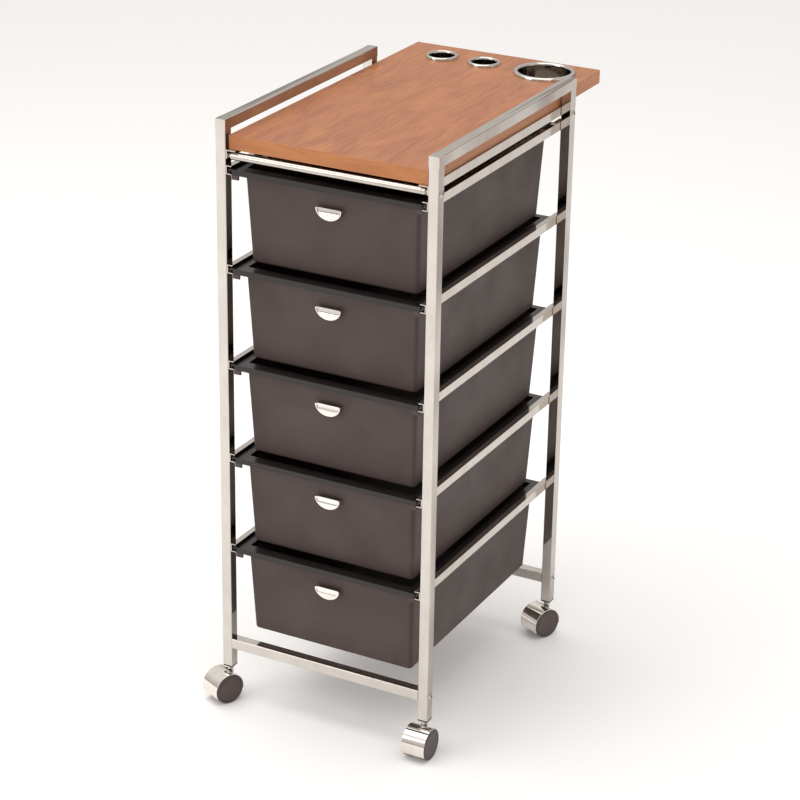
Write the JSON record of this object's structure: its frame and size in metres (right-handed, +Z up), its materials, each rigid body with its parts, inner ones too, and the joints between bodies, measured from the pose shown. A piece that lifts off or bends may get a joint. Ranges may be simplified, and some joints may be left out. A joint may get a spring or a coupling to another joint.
{
  "type": "rolling salon trolley",
  "caption": "Rolling salon trolley: chromed square-tube frame, wood-look top with tool holders behind, pull-out plastic drawers in side runners, hooded swivel casters.",
  "frame": {"origin": "on the floor, under the middle of the trolley's overall box; X = 0 is the frame's middle plane", "axes": "+Z up, drawers open towards -Y, +X to the right seen from the front"},
  "size_m": [0.36, 0.5633, 0.853],
  "materials": {
    "chromed_tube": "bright chrome on steel tube",
    "chromed_runner": "bright chrome on formed steel",
    "chromed_angle": "bright chrome on formed steel",
    "chromed_holder": "bright chrome",
    "chromed_bolt": "bright chrome",
    "chromed_pull": "chrome on moulded plastic",
    "chromed_hood": "bright chrome",
    "caster_stem": "nickel plate",
    "axle_steel": "turned",
    "zinc_screw": "zinc plate",
    "cherry_laminate": "satin laminate",
    "cherry_edge_band": "satin edge band",
    "drawer_plastic": "fine moulded texture",
    "black_plug": "moulded",
    "caster_core": "moulded",
    "wheel_plastic": "satin moulded"
  },
  "bodies": {
    "frame": {"side_frame_left": "chromed_tube", "side_frame_right": "chromed_tube", "board_angle_left": "chromed_angle", "board_angle_right": "chromed_angle", "lower_crossbar_front": "chromed_tube", "lower_crossbar_rear": "chromed_tube", "upper_crossbar_front": "chromed_tube", "upper_crossbar_rear": "chromed_tube", "crossbar_bolts": "chromed_bolt", "board_screws": "zinc_screw", "top_board": "cherry_laminate", "edge_banding": "cherry_edge_band", "tool_holder_left": "chromed_holder", "tool_holder_middle": "chromed_holder", "tool_holder_right": "chromed_holder", "runner_1_left": "chromed_runner", "runner_1_right": "chromed_runner", "runner_2_left": "chromed_runner", "runner_2_right": "chromed_runner", "runner_3_left": "chromed_runner", "runner_3_right": "chromed_runner", "runner_4_left": "chromed_runner", "runner_4_right": "chromed_runner", "runner_5_left": "chromed_runner", "runner_5_right": "chromed_runner", "post_plugs": "black_plug", "caster_stems": "caster_stem"},
    "drawer_1": {"drawer_1_bin": "drawer_plastic", "drawer_1_pull": "chromed_pull"},
    "drawer_2": {"drawer_2_bin": "drawer_plastic", "drawer_2_pull": "chromed_pull"},
    "drawer_3": {"drawer_3_bin": "drawer_plastic", "drawer_3_pull": "chromed_pull"},
    "drawer_4": {"drawer_4_bin": "drawer_plastic", "drawer_4_pull": "chromed_pull"},
    "drawer_5": {"drawer_5_bin": "drawer_plastic", "drawer_5_pull": "chromed_pull"},
    "caster_front_left": {"caster_front_left_hood": "chromed_hood", "caster_front_left_core": "caster_core", "caster_front_left_axle": "axle_steel"},
    "wheel_front_left_left": {"caster_front_left_wheel_left": "wheel_plastic"},
    "wheel_front_left_right": {"caster_front_left_wheel_right": "wheel_plastic"},
    "caster_front_right": {"caster_front_right_hood": "chromed_hood", "caster_front_right_core": "caster_core", "caster_front_right_axle": "axle_steel"},
    "wheel_front_right_left": {"caster_front_right_wheel_left": "wheel_plastic"},
    "wheel_front_right_right": {"caster_front_right_wheel_right": "wheel_plastic"},
    "caster_rear_left": {"caster_rear_left_hood": "chromed_hood", "caster_rear_left_core": "caster_core", "caster_rear_left_axle": "axle_steel"},
    "wheel_rear_left_left": {"caster_rear_left_wheel_left": "wheel_plastic"},
    "wheel_rear_left_right": {"caster_rear_left_wheel_right": "wheel_plastic"},
    "caster_rear_right": {"caster_rear_right_hood": "chromed_hood", "caster_rear_right_core": "caster_core", "caster_rear_right_axle": "axle_steel"},
    "wheel_rear_right_left": {"caster_rear_right_wheel_left": "wheel_plastic"},
    "wheel_rear_right_right": {"caster_rear_right_wheel_right": "wheel_plastic"}
  },
  "joints": [
    {"name": "drawer_1_slide", "type": "slide", "parent": "frame", "child": "drawer_1", "axis": [0, -1, 0], "range_m": [0, 0.3]},
    {"name": "drawer_2_slide", "type": "slide", "parent": "frame", "child": "drawer_2", "axis": [0, -1, 0], "range_m": [0, 0.3]},
    {"name": "drawer_3_slide", "type": "slide", "parent": "frame", "child": "drawer_3", "axis": [0, -1, 0], "range_m": [0, 0.3]},
    {"name": "drawer_4_slide", "type": "slide", "parent": "frame", "child": "drawer_4", "axis": [0, -1, 0], "range_m": [0, 0.3]},
    {"name": "drawer_5_slide", "type": "slide", "parent": "frame", "child": "drawer_5", "axis": [0, -1, 0], "range_m": [0, 0.3]},
    {"name": "caster_front_left_swivel", "type": "hinge", "parent": "frame", "child": "caster_front_left", "pos_m": [-0.1545, -0.2425, 0.031], "axis": [0, 0, 1], "continuous": true},
    {"name": "wheel_front_left_left_spin", "type": "hinge", "parent": "caster_front_left", "child": "wheel_front_left_left", "pos_m": [-0.15978, -0.25383, 0.02175], "axis": [0.9063, -0.4226, 0], "continuous": true},
    {"name": "wheel_front_left_right_spin", "type": "hinge", "parent": "caster_front_left", "child": "wheel_front_left_right", "pos_m": [-0.15978, -0.25383, 0.02175], "axis": [0.9063, -0.4226, 0], "continuous": true},
    {"name": "caster_front_right_swivel", "type": "hinge", "parent": "frame", "child": "caster_front_right", "pos_m": [0.1545, -0.2425, 0.031], "axis": [0, 0, 1], "continuous": true},
    {"name": "wheel_front_right_left_spin", "type": "hinge", "parent": "caster_front_right", "child": "wheel_front_right_left", "pos_m": [0.1545, -0.255, 0.02175], "axis": [1, 0, 0], "continuous": true},
    {"name": "wheel_front_right_right_spin", "type": "hinge", "parent": "caster_front_right", "child": "wheel_front_right_right", "pos_m": [0.1545, -0.255, 0.02175], "axis": [1, 0, 0], "continuous": true},
    {"name": "caster_rear_left_swivel", "type": "hinge", "parent": "frame", "child": "caster_rear_left", "pos_m": [-0.1545, 0.1535, 0.031], "axis": [0, 0, 1], "continuous": true},
    {"name": "wheel_rear_left_left_spin", "type": "hinge", "parent": "caster_rear_left", "child": "wheel_rear_left_left", "pos_m": [-0.15148, 0.14137, 0.02175], "axis": [0.9703, 0.2419, 0], "continuous": true},
    {"name": "wheel_rear_left_right_spin", "type": "hinge", "parent": "caster_rear_left", "child": "wheel_rear_left_right", "pos_m": [-0.15148, 0.14137, 0.02175], "axis": [0.9703, 0.2419, 0], "continuous": true},
    {"name": "caster_rear_right_swivel", "type": "hinge", "parent": "frame", "child": "caster_rear_right", "pos_m": [0.1545, 0.1535, 0.031], "axis": [0, 0, 1], "continuous": true},
    {"name": "wheel_rear_right_left_spin", "type": "hinge", "parent": "caster_rear_right", "child": "wheel_rear_right_left", "pos_m": [0.14922, 0.14217, 0.02175], "axis": [0.9063, -0.4226, 0], "continuous": true},
    {"name": "wheel_rear_right_right_spin", "type": "hinge", "parent": "caster_rear_right", "child": "wheel_rear_right_right", "pos_m": [0.14922, 0.14217, 0.02175], "axis": [0.9063, -0.4226, 0], "continuous": true}
  ]
}
